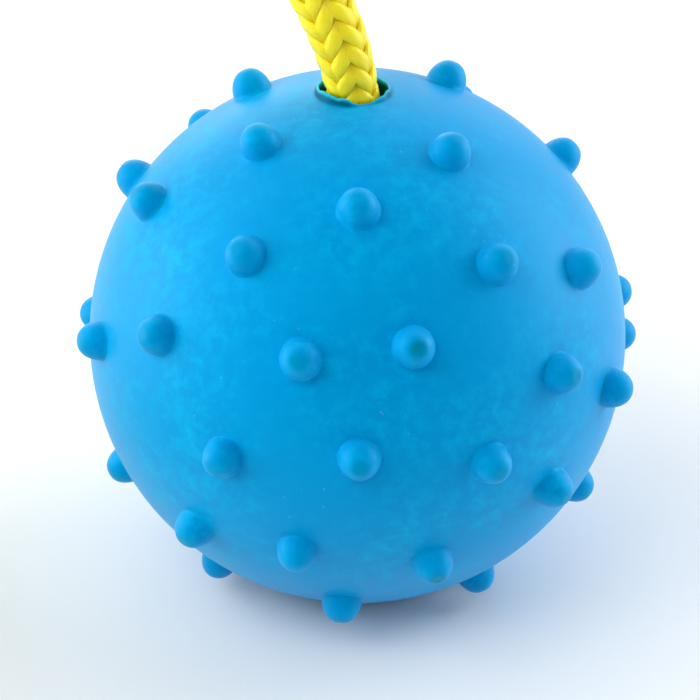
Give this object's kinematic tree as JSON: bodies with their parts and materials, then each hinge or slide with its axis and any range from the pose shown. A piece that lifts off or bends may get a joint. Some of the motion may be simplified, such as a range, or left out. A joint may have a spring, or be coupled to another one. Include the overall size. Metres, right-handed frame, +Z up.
{
  "type": "ball on a rope throwing toy",
  "caption": "Knobbly rubber ball threaded on a short braided rope, with a stopper knot in a pocket underneath and a knotted hand loop for throwing.",
  "frame": {"origin": "on the floor under the ball's centre", "axes": "+Z up along the ball's bore, -Y the front, +X to the right seen from the front; the rope falls to the left and its hand loop lies towards the front"},
  "size_m": [0.1525, 0.1626, 0.1073],
  "materials": {
    "blue_rubber": "matte",
    "yellow_rope": "satin",
    "melted_end": "gloss"
  },
  "bodies": {
    "rope": {"rope_bore_run": "yellow_rope", "stopper_knot": "yellow_rope", "stopper_tail": "yellow_rope", "stopper_tail_seal": "melted_end", "rope_free_run": "yellow_rope", "loop_knot": "yellow_rope", "hand_loop": "yellow_rope", "loop_tail": "yellow_rope", "loop_tail_seal": "melted_end"},
    "ball": {"rubber_ball": "blue_rubber"}
  },
  "joints": [
    {"name": "ball_turn", "type": "hinge", "parent": "rope", "child": "ball", "pos_m": [0, 0, 0.03398], "axis": [0, 0, 1], "continuous": true}
  ]
}
